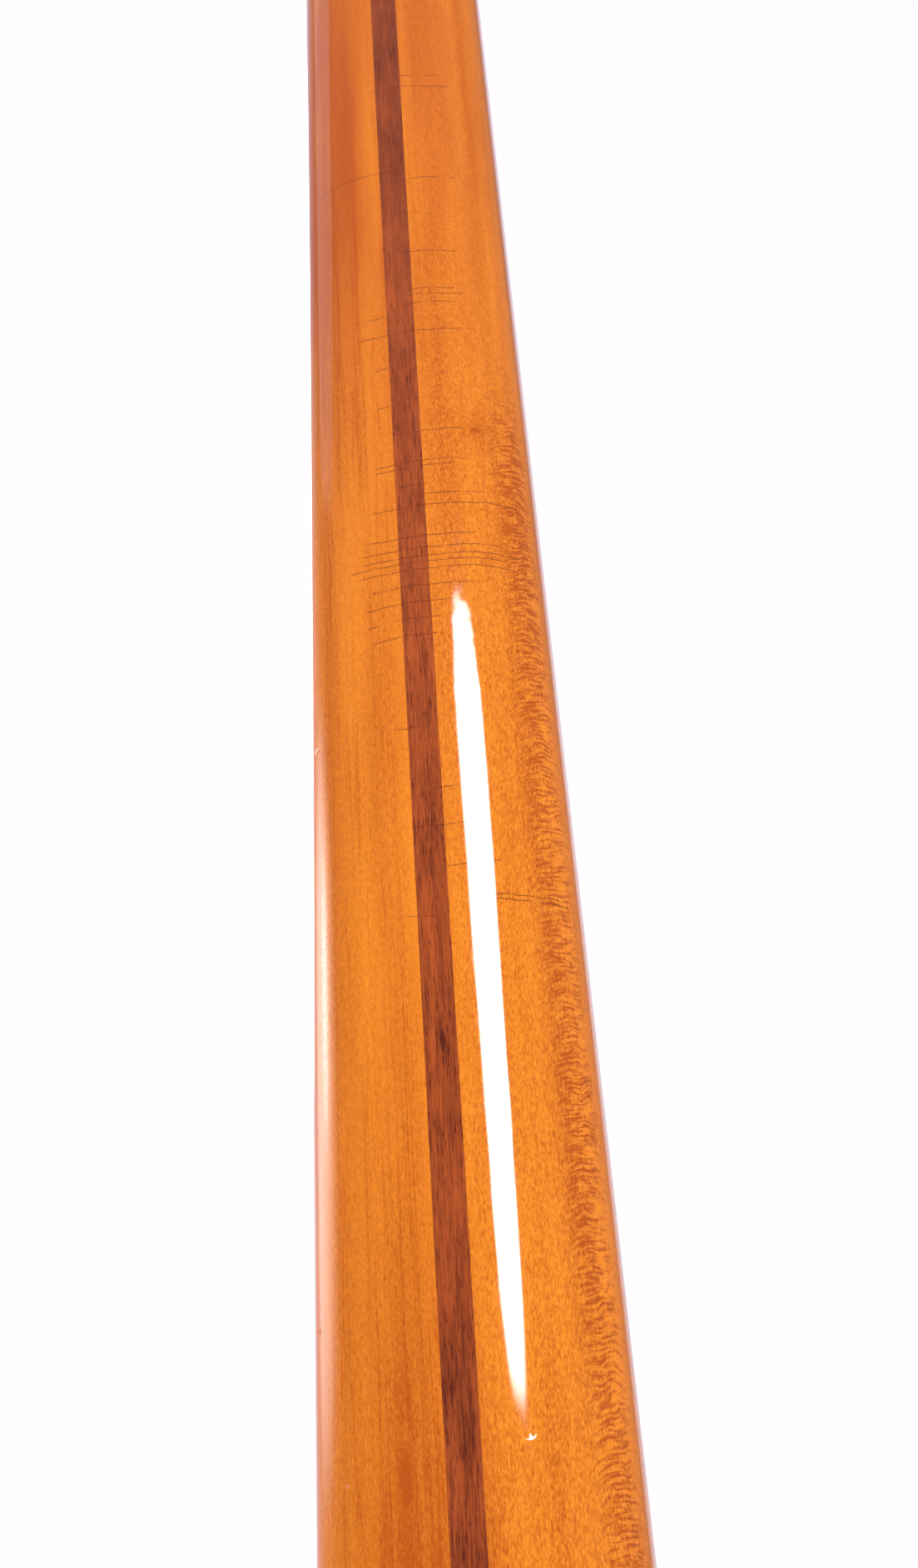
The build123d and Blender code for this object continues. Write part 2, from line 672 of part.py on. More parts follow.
def make_tuners():
    """Every piece of the four tuners, in place on the headstock."""
    shapes = {
        "plate": make_plate(), "worm_shaft": make_worm_shaft(), "button": make_button(),
        "gear": make_gear(), "post": make_post(), "gear_screw": make_gear_screw(),
    }
    bushing, screw = make_bushing(), make_plate_screw(-plate_thickness)
    parts, bushings, screws = {}, [], []
    for number, place in enumerate(tuner_places(), start=1):
        for name, shape in shapes.items():
            parts[f"tuner_{number}_{name}"] = place * shape
        bushings.append(place * bushing)
        screws += [place * Pos(x, 0, z) * screw for x, z in plate_screw_places()]
    parts["tuner_bushings"] = Compound(bushings)
    parts["tuner_plate_screws"] = Compound(screws)
    return parts


# ---- string tree -------------------------------------------------------------------------------------------------------
def tree_place():
    return Pos(tree_x, head_face_y, nut_z + tree_past_nut)


def make_string_tree():
    """Round retainer disc on its stem, and the screw that holds it."""
    top = tree_stem_height + tree_thickness
    disc = along_y(tree_diameter / 2, tree_stem_height, top)
    disc = fillet(disc.edges(), tree_thickness * 0.4)
    tree = along_y(tree_stem_diameter / 2, 0, tree_stem_height + 0.1) + disc
    tree -= along_y(screw_diameter / 2 + 0.1, -1.0, far)
    screw = Rot(180, 0, 0) * make_plate_screw(-top)
    return {"string_tree": tree_place() * tree, "string_tree_screw": tree_place() * screw}


def main():
    raw = raw_blank()
    parts = {"neck_blank": make_blank(raw), "centre_stripe": make_stripe(raw)}
    parts.update(make_truss_parts(raw))
    parts.update(make_board_parts())
    parts.update(make_tuners())
    parts.update(make_string_tree())
    os.makedirs("parts", exist_ok=True)
    for name, shape in parts.items():
        export_step(shape, f"parts/{name}.step")
        print(name, round(shape.volume, 1), len(shape.solids()))


main()
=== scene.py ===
"""Looks of a bolt-on electric bass guitar neck: lacquered maple and walnut, nickel tuners, nickel-silver frets."""
import bmesh
import bpy
import json
import math
from bpy.props import FloatProperty, FloatVectorProperty, PointerProperty
from mathutils import Matrix, Vector


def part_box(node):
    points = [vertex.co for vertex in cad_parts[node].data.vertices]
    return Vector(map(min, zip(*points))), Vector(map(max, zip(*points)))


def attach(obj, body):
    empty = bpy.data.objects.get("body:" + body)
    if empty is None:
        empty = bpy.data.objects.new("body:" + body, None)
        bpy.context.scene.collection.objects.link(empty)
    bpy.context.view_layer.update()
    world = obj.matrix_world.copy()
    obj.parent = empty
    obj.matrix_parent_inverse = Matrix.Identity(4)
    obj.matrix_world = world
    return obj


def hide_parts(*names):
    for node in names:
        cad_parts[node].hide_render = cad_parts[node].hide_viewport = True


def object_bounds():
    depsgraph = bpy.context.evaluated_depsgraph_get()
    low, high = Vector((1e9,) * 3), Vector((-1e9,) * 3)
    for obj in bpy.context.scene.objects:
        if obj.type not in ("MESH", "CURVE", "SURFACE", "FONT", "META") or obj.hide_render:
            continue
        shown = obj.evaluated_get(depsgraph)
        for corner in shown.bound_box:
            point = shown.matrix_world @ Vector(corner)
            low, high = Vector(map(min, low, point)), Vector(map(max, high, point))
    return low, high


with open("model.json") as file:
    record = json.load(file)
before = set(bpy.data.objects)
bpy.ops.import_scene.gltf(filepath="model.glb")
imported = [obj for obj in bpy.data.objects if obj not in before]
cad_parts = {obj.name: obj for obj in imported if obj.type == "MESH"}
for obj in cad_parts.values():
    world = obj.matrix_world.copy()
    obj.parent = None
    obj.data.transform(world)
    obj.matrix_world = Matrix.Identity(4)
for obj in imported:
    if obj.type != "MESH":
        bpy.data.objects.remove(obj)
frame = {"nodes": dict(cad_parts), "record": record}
cad_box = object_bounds()

bl_info = {
    "name": "Bass Neck Maker",
    "version": (1, 0, 0),
    "blender": (4, 5, 0),
    "location": "View3D > Sidebar > Bass Neck",
    "description": "Models and finishes a lacquered bass guitar neck round its fixed frame",
    "category": "Add Mesh",
}

MM = 0.001
BOARD_LOW, BOARD_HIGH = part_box("fingerboard")
BLANK_LOW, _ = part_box("neck_blank")
NUT_LOW, NUT_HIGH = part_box("string_nut")
STRIPE_LOW, STRIPE_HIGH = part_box("centre_stripe")
PLUG_LOW, PLUG_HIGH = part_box("headstock_plug")
HEEL_Z = BOARD_LOW.z
NUT_Z = NUT_LOW.z
GLUE_Y = BOARD_LOW.y
CROWN_Y = BOARD_HIGH.y
STRIPE_X = STRIPE_HIGH.x


# ---- what a user may change ----------------------------------------------------------------------------------------
def length(name, description, millimetres):
    """A length property with its default given in millimetres."""
    return FloatProperty(name=name, description=description, default=millimetres * MM, unit="LENGTH", precision=5)


def colour(name, description, red, green, blue):
    """A colour property."""
    return FloatVectorProperty(name=name, description=description, default=(red, green, blue), size=3,
                               subtype="COLOR", min=0.0, max=1.0)


class NeckSizes(bpy.types.PropertyGroup):
    """Shape of the neck's rounded back."""
    depth_at_nut: length("Depth at the nut", "Back to the fingerboard's crown at the nut", 21.0)
    depth_growth: length("Depth growth", "Depth gained from the nut to the twelfth fret", 2.0)
    half_scale: length("Half scale", "Nut to the twelfth fret", 432.0)
    heel_corner: length("Heel corner", "Radius of the heel's two end corners", 6.0)
    heel_flat: length("Heel flat", "Top of the flat heel above the screw pattern's centre", 46.0)
    heel_blend: length("Heel blend", "Length over which the heel turns into the round back", 56.0)
    head_blend: length("Head blend", "Start of the squared headstock root below the nut", 14.0)
    head_root: length("Headstock root", "Length of the squared root above the nut", 26.0)
    head_drop: length("Head drop", "Headstock face below the glue plane", 5.0)
    scoop_radius: length("Scoop radius", "Curve from the nut down to the headstock face", 30.0)
    back_power: FloatProperty(name="Back roundness", description="2 is an ellipse, more is squarer", default=2.3)
    block_power: FloatProperty(name="Block squareness", description="Exponent of the squared ends", default=6.0)
    side_spare: length("Side spare", "Trimmed off each side of the squared ends", 1.5)
    back_spare: length("Back spare", "Trimmed off the back of the squared ends", 2.5)
    channel_depth: length("Channel depth", "Depth of the centre stripe's channel", 3.4)
    ring_step: length("Ring step", "Spacing of the mesh rings along the plain shaft", 3.0)


class FinishColours(bpy.types.PropertyGroup):
    """Colours of the woods and metals."""
    maple_light: colour("Light maple", "Brightest figure of the back", 0.715, 0.222, 0.015)
    maple_deep: colour("Deep maple", "Deepest figure of the back", 0.362, 0.063, 0.003)
    # Painted reflection: this colour lightens the back's steep sides next to the board, where the lacquer mirrors the
    # white backdrop.
    maple_painted_sheen: colour("Maple rim", "Glow of the back's steep sides along the board", 0.800, 0.215, 0.014)
    board_light: colour("Light board", "Brightest figure of the fingerboard", 0.640, 0.300, 0.090)
    board_deep: colour("Deep board", "Deepest figure of the fingerboard", 0.500, 0.200, 0.045)
    walnut_light: colour("Light walnut", "Brightest figure of the stripe", 0.360, 0.068, 0.012)
    walnut_deep: colour("Deep walnut", "Deepest figure of the stripe", 0.080, 0.010, 0.003)
    check: colour("Lacquer check", "Fine cracks across the lacquer", 0.170, 0.040, 0.008)
    nickel: colour("Nickel", "Plated tuners", 0.700, 0.685, 0.650)
    fret: colour("Fret wire", "Nickel silver", 0.660, 0.640, 0.590)
    steel: colour("Steel", "Truss rod and its nut", 0.420, 0.420, 0.430)
    brass: colour("Brass", "Tuner gears", 0.700, 0.480, 0.190)
    bone: colour("Bone", "String nut", 0.760, 0.700, 0.560)
    black: colour("Black", "Position dots", 0.012, 0.011, 0.010)
    floor: colour("Floor", "Studio floor", 0.700, 0.700, 0.705)
    backdrop: colour("Backdrop", "White studio behind and round the neck", 1.000, 0.985, 1.000)
    sweep: colour("Sweep", "The same backdrop as the lacquer mirrors it at the neck's edges", 0.820, 0.730, 0.880)
    room: colour("Room", "Dim side of the studio that the back faces", 0.230, 0.222, 0.230)
    ceiling: colour("Ceiling", "Top and low-string end of the dim side", 0.480, 0.460, 0.480)


# ---- shader writing ------------------------------------------------------------------------------------------------
class Value:
    """A shader number that Python operators can work on."""

    def __init__(self, finish, socket):
        self.finish = finish
        self.socket = socket

    def math(self, operation, *others):
        return self.finish.math(operation, self, *others)

    def __add__(self, other):
        return self.math("ADD", other)

    def __sub__(self, other):
        return self.math("SUBTRACT", other)

    def __rsub__(self, other):
        return self.finish.math("SUBTRACT", other, self)

    def __mul__(self, other):
        return self.math("MULTIPLY", other)

    def __abs__(self):
        return self.math("ABSOLUTE")

    def __pow__(self, other):
        return self.math("POWER", other)


class Nodes:
    """A node tree under construction."""

    def __init__(self, tree):
        self.tree = tree

    def node(self, kind, settings=None, inputs=None, output=0):
        """Adds a node: its type, then its settings, then the values or links of its sockets."""
        made = self.tree.nodes.new(kind)
        for key, setting in (settings or {}).items():
            setattr(made, key, setting)
        for key, value in (inputs or {}).items():
            self.feed(made.inputs[key], value)
        return Value(self, made.outputs[output])

    def feed(self, socket, value):
        """Links a shader number to a socket, or sets the socket to a plain one."""
        if isinstance(value, Value):
            self.tree.links.new(value.socket, socket)
        else:
            socket.default_value = value

    def math(self, operation, *values):
        """Number from a math operation on shader numbers and plain ones."""
        return self.node("ShaderNodeMath", {"operation": operation}, dict(enumerate(values)))

    def place(self, stretch=(1.0, 1.0, 1.0), shift=(0.0, 0.0, 0.0)):
        """Object coordinates in millimetres, stretched and moved."""
        coords = self.node("ShaderNodeTexCoord", output="Object")
        scale = tuple(s / MM for s in stretch)
        scaled = self.node("ShaderNodeVectorMath", {"operation": "MULTIPLY"}, {0: coords, 1: scale})
        return self.node("ShaderNodeVectorMath", {"operation": "ADD"}, {0: scaled, 1: shift})

    def axes(self):
        """The three object coordinates in millimetres, as separate numbers."""
        return self.split(self.place())

    def split(self, vector):
        """The three numbers of a vector."""
        made = self.tree.nodes.new("ShaderNodeSeparateXYZ")
        self.feed(made.inputs[0], vector)
        return [Value(self, made.outputs[i]) for i in range(3)]

    def noise(self, stretch, detail=2.0, roughness=0.5, distortion=0.0, shift=(0.0, 0.0, 0.0)):
        """Noise from about 0 to 1 on stretched object coordinates."""
        return self.noise_on(self.place(stretch, shift), detail, roughness, distortion)

    def noise_on(self, vector, detail=2.0, roughness=0.5, distortion=0.0):
        """Noise from about 0 to 1 on a vector."""
        inputs = {"Vector": vector, "Scale": 1.0, "Detail": detail, "Roughness": roughness, "Distortion": distortion}
        return self.node("ShaderNodeTexNoise", None, inputs)

    def join(self, x, y, z):
        """Vector from three numbers."""
        return self.node("ShaderNodeCombineXYZ", None, {"X": x, "Y": y, "Z": z})

    def ramp(self, value, low, high, to_low=0.0, to_high=1.0):
        """Smooth step of a value between two levels."""
        inputs = {"Value": value, "From Min": low, "From Max": high, "To Min": to_low, "To Max": to_high}
        return self.node("ShaderNodeMapRange", {"interpolation_type": "SMOOTHSTEP"}, inputs)

    def blend(self, factor, first, second):
        """Mix of two colours, each a link or red, green and blue."""
        made = self.tree.nodes.new("ShaderNodeMix")
        made.data_type = "RGBA"
        made.clamp_factor = True
        self.feed(made.inputs[0], factor)
        # The mix node has a socket for each kind of data, and its colours are inputs 6 and 7 and output 2.
        for index, value in ((6, first), (7, second)):
            self.feed(made.inputs[index], value if isinstance(value, Value) else (*value[:3], 1.0))
        return Value(self, made.outputs[2])

    def bump(self, height, distance_mm):
        """Normal from a height, with its full depth in millimetres."""
        inputs = {"Height": height, "Distance": distance_mm * MM, "Strength": 1.0}
        return self.node("ShaderNodeBump", None, inputs)


class Finish(Nodes):
    """A material under construction: one Principled shader and the nodes that feed it."""

    def __init__(self, name, **constants):
        self.material = bpy.data.materials.new(name)
        self.material.use_nodes = True
        super().__init__(self.material.node_tree)
        self.shader = self.tree.nodes["Principled BSDF"]
        for socket, value in constants.items():
            self.shader.inputs[socket.replace("_", " ")].default_value = value

    def set(self, **links):
        """Links varying values to the shader's own sockets."""
        for socket, value in links.items():
            self.feed(self.shader.inputs[socket.replace("_", " ")], value)
        return self.material


LACQUER = {"IOR": 1.5}
LACQUER_ROUGHNESS = 0.035
LACQUER_BUMP_MM = 0.055

# All heights in the finishes are in millimetres above the heel screw pattern's centre, and all distances across the
# neck are in millimetres from its centre line, positive towards the low strings.
# Half the neck's width: at height 0, and its change with height.
EDGE_AT_ORIGIN, EDGE_TAPER = 30.84, -0.01739
# The woods' fine figure is full up to the first height and softened to the share by the second.
FIGURE_FULL_Z, FIGURE_SOFT_Z, FIGURE_SOFT_SHARE = 340.0, 500.0, 0.35
# Middle of the band where the lacquer has rippled, half its length, and half of its fully rippled part.
RIPPLE_Z, RIPPLE_REACH, RIPPLE_CORE = 342.0, 24.0, 6.0
# Where the lacquer has checked across the grain: height, and the check's two ends.
CHECKS = (
    (283.9, -6, 2), (285.9, 9, 24), (286.9, 11, 24), (293.6, 3, 13), (302.2, -5, 7), (310.1, 1, 6), (323.6, -5, 1),
    (344.3, -9, 4), (348.2, -10, 5), (352.1, -10, 8), (356.1, -9, 14), (360.1, -11, 20), (361.9, -13, 22),
    (363.3, -11, 21), (365.3, -11, 18), (368.2, -9, 14), (375.8, -8, 21), (378.5, 2, 15), (381.1, -2, 4),
    (385.7, -7, 9), (387.0, -7, 11), (394.6, -3, 12), (402.3, -6, -1), (412.4, -6, -3), (421.6, -10, 13),
    (426.9, -10, -3), (429.3, 1, 12), (431.7, 2, 14), (433.3, 1, 12), (444.2, 1, 13), (466.3, 2, 14), (469.4, -18, 0),
    (495.3, -4, 14), (498.9, -3, 12),
)
CHECK_HALF_WIDTH = 0.12
# Small dents in the back: distance across, height, radius.
DENTS = ((10.9, 191.5, 1.1), (-20.3, 186.5, 1.0), (-25.3, 212.3, 0.8), (-22.8, 325.3, 0.9))
DENT_DEPTH = 2.2
# Distance across and height of single marks in the wood.
PIN_KNOT = (14.2, 394.3)
DARK_FLECK = (-9.6, 186.4)
STRIPE_EYE = (0.4, 259.4)


def edge_distance(z):
    """Half the neck's width at a height."""
    return z * EDGE_TAPER + EDGE_AT_ORIGIN


def figure_share(finish, z):
    """Share of the woods' fine figure that shows at a height."""
    return finish.ramp(z, FIGURE_SOFT_Z, FIGURE_FULL_Z, FIGURE_SOFT_SHARE, 1.0)


def lacquer_checks(finish, x, z):
    """Mask of the fine cracks across the lacquer, a little wavy and uneven along their length."""
    level = z + finish.noise((0.06, 0.06, 0.015), 3.0) * 3.0 - 1.5
    level = level + finish.noise((0.6, 0.6, 0.05), 1.0) * 0.4
    lines = 0.0
    for height, start, end in CHECKS:
        near = level.math("COMPARE", height, CHECK_HALF_WIDTH)
        lines = near * x.math("COMPARE", (start + end) / 2, (end - start) / 2) + lines
    return lines.math("MINIMUM", 1.0) * finish.ramp(finish.noise((0.25, 0.25, 0.4), 2.0), 0.30, 0.50)


def spot(finish, x, z, centre, radius, tall=1.0):
    """Round mark, 1 at its centre and 0 at its rim."""
    across, up = x - centre[0], (z - centre[1]) * (1.0 / tall)
    return finish.ramp((across * across + up * up) ** 0.5, radius, 0.0)


def lacquer_surface(finish, x, z, fleck):
    """Roughness and normal of thick polished lacquer: slow waves, ripples, sunk grain near the high edge, dents."""
    waves = finish.noise((0.075, 0.075, 0.022), 2.0, 0.5)
    ripple = finish.noise((0.16, 0.16, 0.12), 2.0, 0.5) * finish.ramp(abs(z - RIPPLE_Z), RIPPLE_REACH, RIPPLE_CORE)
    inward = edge_distance(z) + x
    sunk = finish.ramp(inward, 16.0, 9.0) * finish.ramp(inward, 0.5, 3.0) * finish.ramp(z, 420.0, 340.0)
    height = waves + ripple * 0.75 + fleck * sunk * 0.45
    for dent_x, dent_z, radius in DENTS:
        height = height - spot(finish, x, z, (dent_x, dent_z), radius) * DENT_DEPTH
    haze = finish.noise((0.30, 0.30, 0.10), 3.0, 0.6)
    rough = finish.ramp(haze, 0.45, 0.75, LACQUER_ROUGHNESS, LACQUER_ROUGHNESS * 2.2) + sunk * 0.08
    return rough, finish.bump(height, LACQUER_BUMP_MM)


def maple_finish(name, light, deep, rim, check=None):
    """Amber lacquered maple: clouds, flecks, curl near the low-string edge and growth lines, with painted shade over
    its upper part and a painted sheen on its steep sides near the board.

    With a colour for its lacquer checks it also gets those and the single marks.
    """
    finish = Finish(name, **LACQUER)
    x, y, z = finish.axes()
    from_edge = edge_distance(z) - x
    clouds = finish.noise((0.085, 0.085, 0.012), 3.0, 0.55)
    bands = finish.noise((0.19, 0.19, 0.0045), 3.0, 0.55, 0.3, (0.0, 0.0, 4.0))
    fleck = finish.noise((3.8, 3.8, 1.1), 2.0, 0.65, 0.2)
    coarse = finish.noise((1.7, 1.7, 0.45), 2.0, 0.6, 0.5, (5.0, 0.0, 0.0))
    low_side = finish.ramp(x, 0.0, 8.0)
    figured = figure_share(finish, z)
    near_edge = finish.ramp(from_edge, 8.5, 4.0) * finish.ramp(z, 420.0, 380.0)
    very_edge = finish.ramp(from_edge, 0.4, 2.2)
    bow = (1.0 - ((from_edge - 8.0) * 0.45).math("MINIMUM", 0.0).math("EXPONENT")) * 3.2
    across = z - bow + finish.noise((0.12, 0.12, 0.06), 2.0) * 5.0
    dashes = finish.noise_on(finish.join(from_edge * 0.30, across * 1.50, y * 0.30), 2.0, 0.65)
    ribs = (across * 6.6).math("SINE") * 0.5 + 0.5
    curl = finish.ramp(dashes, 0.38, 0.62) * (ribs * 0.45 + 0.55)
    growth = finish.noise((0.42, 0.42, 0.0065), 3.0, 0.55, 0.3)
    lines = finish.ramp(abs(growth - 0.5), 0.030, 0.0)
    # Painted shade: darker on the high-string side over the upper part.
    painted_high_side_shade = finish.ramp(x, 3.0, -9.0) * finish.ramp(z, 330.0, 480.0)
    butt = finish.ramp(abs(x + 7.0), 15.0, 5.0) * finish.ramp(z, 235.0, 160.0)
    warm = finish.ramp(x, 8.0, 16.0) * finish.ramp(z, 340.0, 280.0) * finish.ramp(z, 150.0, 200.0)
    # Painted shade: darker over the upper part, away from the centre line.
    painted_top_shade = finish.ramp(z, 360.0, 500.0) * finish.ramp(abs(x + 2.0), 3.0, 8.0)
    tone = clouds * 0.80 + bands * 0.70 - 0.16
    tone = tone + (fleck - 0.5) * (low_side + 1.20) * figured
    tone = tone + (coarse - 0.5) * (low_side * 0.40 + 0.30) * figured
    tone = tone - lines * (0.20 - low_side * 0.14)
    tone = tone - (curl - 0.12) * near_edge * very_edge
    tone = tone - painted_high_side_shade * 0.32 - butt * 0.42 - low_side * 0.04 - painted_top_shade * 0.24 + warm * 0.05
    if check is not None:
        knot = spot(finish, x, z, PIN_KNOT, radius=1.3, tall=0.8)
        knot = knot + spot(finish, x, z, DARK_FLECK, radius=1.6, tall=4.0) * 0.4
        halo = spot(finish, x, z, PIN_KNOT, radius=6.0, tall=1.6)
        tone = tone - knot * 0.9 - halo * 0.25
    wood = finish.blend(tone, deep, light)
    # Painted reflection: the steep sides near the board are blended towards the sheen colour.
    wood = finish.blend(finish.ramp(y, 7.0, 15.0) * (tone * 0.8 + 0.2), wood, rim)
    if check is not None:
        wood = finish.blend(lacquer_checks(finish, x, z) * 0.80, wood, check)
    rough, normal = lacquer_surface(finish, x, z, fleck)
    return finish.set(Base_Color=wood, Roughness=rough, Normal=normal)


def walnut_finish(name, light, deep):
    """Lacquered walnut: long streaks, short dark pores along the grain, one small eye, and painted shade towards its
    upper end.
    """
    finish = Finish(name, **LACQUER)
    x, y, z = finish.axes()
    bands = finish.noise((0.34, 0.34, 0.012), 3.0, 0.6, 0.4)
    patches = finish.noise((0.16, 0.16, 0.060), 3.0, 0.6)
    streak = finish.noise((2.8, 2.8, 0.13), 3.0, 0.6, 0.2)
    figured = figure_share(finish, z)
    pores = finish.ramp(finish.noise((4.6, 4.6, 0.40), 2.0, 0.5, 0.0, (0.0, 5.0, 0.0)), 0.55, 0.66)
    butt = finish.ramp(z, 240.0, 165.0)
    eye = spot(finish, x, z, STRIPE_EYE, radius=1.5, tall=4.0)
    from_eye = ((x - STRIPE_EYE[0]) ** 2.0 + ((z - STRIPE_EYE[1]) * 0.25) ** 2.0) ** 0.5
    rings = (from_eye * 7.0).math("SINE") * 0.5 + 0.5
    # Painted shade darkens the upper end. The heel end is darker too, and a constant lowers the whole tone.
    shade_and_end_darkening = butt * 0.20 + finish.ramp(z, 380.0, 480.0) * 0.20 + 0.28
    tone = bands * 0.7 + patches * 1.1 + ((streak - 0.5) * 1.5 - pores * 0.45) * figured - shade_and_end_darkening
    tone = tone - eye * (rings * 0.5 + 0.4)
    wood = finish.blend(tone, deep, light)
    wood = finish.blend(lacquer_checks(finish, x, z) * 0.5, wood, deep)
    rough, normal = lacquer_surface(finish, x, z, streak)
    return finish.set(Base_Color=wood, Roughness=rough, Normal=normal)


def metal_finish(name, base, roughness, scratch, wear):
    """Polished or machined metal with fine scratches and slightly duller handled patches."""
    finish = Finish(name, Metallic=1.0)
    patches = finish.noise((0.16, 0.16, 0.16), 3.0, 0.6)
    lines = finish.noise((3.5, 0.5, 0.5), 2.0, 0.6)
    dull = finish.ramp(patches, 0.42, 0.68)
    tint = finish.blend(dull * wear, base, tuple(c * 0.80 for c in base))
    rough = dull * 0.10 + (lines - 0.5) * 0.06 + roughness
    normal = finish.bump(lines, scratch)
    return finish.set(Base_Color=tint, Roughness=rough, Normal=normal)


def bone_finish(name, base):
    """Polished bone with faint warm fibres."""
    finish = Finish(name, Roughness=0.28)
    fibres = finish.noise((0.4, 3.0, 3.0), 3.0, 0.6)
    tint = finish.blend(fibres, tuple(c * 0.82 for c in base), base)
    return finish.set(Base_Color=tint, Normal=finish.bump(fibres, 0.01))


def black_finish(name, base):
    """Black plastic under clear lacquer."""
    finish = Finish(name, Roughness=LACQUER_ROUGHNESS, **LACQUER)
    cloud = finish.noise((0.9, 0.9, 0.9), 2.0)
    return finish.set(Base_Color=finish.blend(cloud, base, tuple(c * 1.8 for c in base)))


# ---- mesh helpers --------------------------------------------------------------------------------------------------
# Edges that turn more than this are drawn sharp.
SHARP_DEGREES = 32.0
CORNER_RINGS = 14
SIDE_COLUMNS, MIDDLE_COLUMNS, FRONT_COLUMNS = 60, 10, 24
STRIPE_COLUMNS, STRIPE_ROWS = 16, 260
# How far past the stripe's low and high ends the rings go on bending round it.
LOW_PATCH, HIGH_PATCH = 12 * MM, 9 * MM
STRIPE_GAP = 0.1 * MM
SCREW_HOLE_DEPTH = 17 * MM
ROD_HOLE_SPARE = 0.2 * MM
HEADSTOCK_OVERLAP = 2.0 * MM


def smooth(share):
    """Smooth step of a share, held between 0 and 1."""
    share = max(0.0, min(1.0, share))
    return share * share * (3.0 - 2.0 * share)


def mix(low, high, share):
    """Value at a share of the way from low to high."""
    return low + (high - low) * share


def sheet(bm, columns, rows, place):
    """Grid of faces whose corners go where place(column, row) says."""
    made = bmesh.ops.create_grid(bm, x_segments=columns, y_segments=rows, size=1.0)
    for vert in made["verts"]:
        column = round((vert.co.x + 1.0) / 2.0 * columns)
        row = round((vert.co.y + 1.0) / 2.0 * rows)
        vert.co = place(column, row)


def linked(name, bm):
    """Turns a bmesh into an object in the scene."""
    mesh = bpy.data.meshes.new(name)
    bm.to_mesh(mesh)
    bm.free()
    made = bpy.data.objects.new(name, mesh)
    bpy.context.scene.collection.objects.link(made)
    return made


def piece(name, bm, material, body):
    """Turns a bmesh into a finished object riding on a body."""
    bmesh.ops.remove_doubles(bm, verts=bm.verts, dist=1e-6)
    bmesh.ops.dissolve_degenerate(bm, dist=1e-7, edges=bm.edges)
    bmesh.ops.recalc_face_normals(bm, faces=bm.faces)
    limit = math.radians(SHARP_DEGREES)
    for face in bm.faces:
        face.smooth = True
    for edge in bm.edges:
        edge.smooth = len(edge.link_faces) == 2 and edge.calc_face_angle() < limit
    made = linked(name, bm)
    made.data.materials.append(material)
    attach(made, body)
    return made


def half_width(z):
    """Half the neck's width: a straight taper from heel to nut, then parallel."""
    share = min(1.0, (z - HEEL_Z) / (NUT_Z - HEEL_Z))
    return mix(BOARD_HIGH.x, NUT_HIGH.x, share)


def trimmed_half(sizes, z):
    """Half width of the flat sides, rounded in at the heel's corners."""
    up = z - HEEL_Z
    if up >= sizes.heel_corner:
        return half_width(z)
    down = sizes.heel_corner - up
    return half_width(z) - sizes.heel_corner + math.sqrt(max(0.0, sizes.heel_corner ** 2 - down ** 2))


def top_level(sizes, z):
    """Level of the front: the glue plane, then the scoop down to the headstock's face."""
    past = z - BOARD_HIGH.z
    if past <= 0.0:
        return GLUE_Y
    radius = sizes.scoop_radius
    drop = radius - math.sqrt(max(0.0, radius ** 2 - past ** 2))
    return GLUE_Y - min(sizes.head_drop, drop)


def section(sizes, z):
    """Half width, back level, exponent and flat back level of the blank at a height."""
    back = CROWN_Y - sizes.depth_at_nut - sizes.depth_growth * (NUT_Z - z) / sizes.half_scale
    heel = smooth((sizes.heel_flat + sizes.heel_blend - z) / sizes.heel_blend)
    head = smooth((z - NUT_Z + sizes.head_blend) / (sizes.head_blend + sizes.head_root))
    square = max(heel, head)
    flat = BLANK_LOW.y if head > heel else 0.0
    back = mix(back, flat - sizes.back_spare, square)
    power = mix(sizes.back_power, sizes.block_power, square)
    return half_width(z) + sizes.side_spare * square, back, power, flat


def back_point(sizes, turn, z):
    """Point of the back's surface at a turn from the low-string side, 0 to pi."""
    half, back, power, flat = section(sizes, z)
    depth = GLUE_Y - back
    across, down = abs(math.cos(turn)), abs(math.sin(turn))
    reach = ((across / half) ** power + (down / depth) ** power) ** (-1.0 / power)
    limit = trimmed_half(sizes, z)
    x = max(-limit, min(limit, reach * math.cos(turn)))
    y = max(flat, GLUE_Y - reach * down)
    return Vector((x, min(y, top_level(sizes, z)), z))


def back_level(sizes, x, z):
    """Level of the back's surface at a distance from the centre line."""
    half, back, power, flat = section(sizes, z)
    depth = GLUE_Y - back
    return max(flat, GLUE_Y - depth * (1.0 - (abs(x) / half) ** power) ** (1.0 / power))


def stripe_ends(x):
    """Heights of the stripe's two rounded ends at a distance from the centre line."""
    radius = STRIPE_X
    bulge = math.sqrt(max(0.0, radius ** 2 - x * x))
    return STRIPE_LOW.z + radius - bulge, STRIPE_HIGH.z - radius + bulge


def ring_heights(sizes):
    """Heights of the rings round the blank, close together where its shape changes."""
    stripe_low, stripe_high = stripe_ends(STRIPE_X)
    heights = [HEEL_Z + sizes.heel_corner * (1.0 - math.cos(math.pi / 2 * i / CORNER_RINGS))
               for i in range(CORNER_RINGS + 1)]
    blend_top = sizes.heel_flat + sizes.heel_blend
    root_top = NUT_Z + sizes.head_root
    # Each stretch: the height it ends at and the spacing of its rings in millimetres.
    stretches = (
        (stripe_low - LOW_PATCH, 2.0), (stripe_low, 1.5), (sizes.heel_flat, 2.0), (blend_top, 1.2),
        (stripe_high, sizes.ring_step / MM), (stripe_high + HIGH_PATCH, 0.75), (BOARD_HIGH.z, 1.0), (root_top, 0.8),
    )
    for stop, step in stretches:
        start = heights[-1]
        count = max(1, round((stop - start) / (step * MM)))
        heights += [mix(start, stop, i / count) for i in range(1, count + 1)]
    return heights


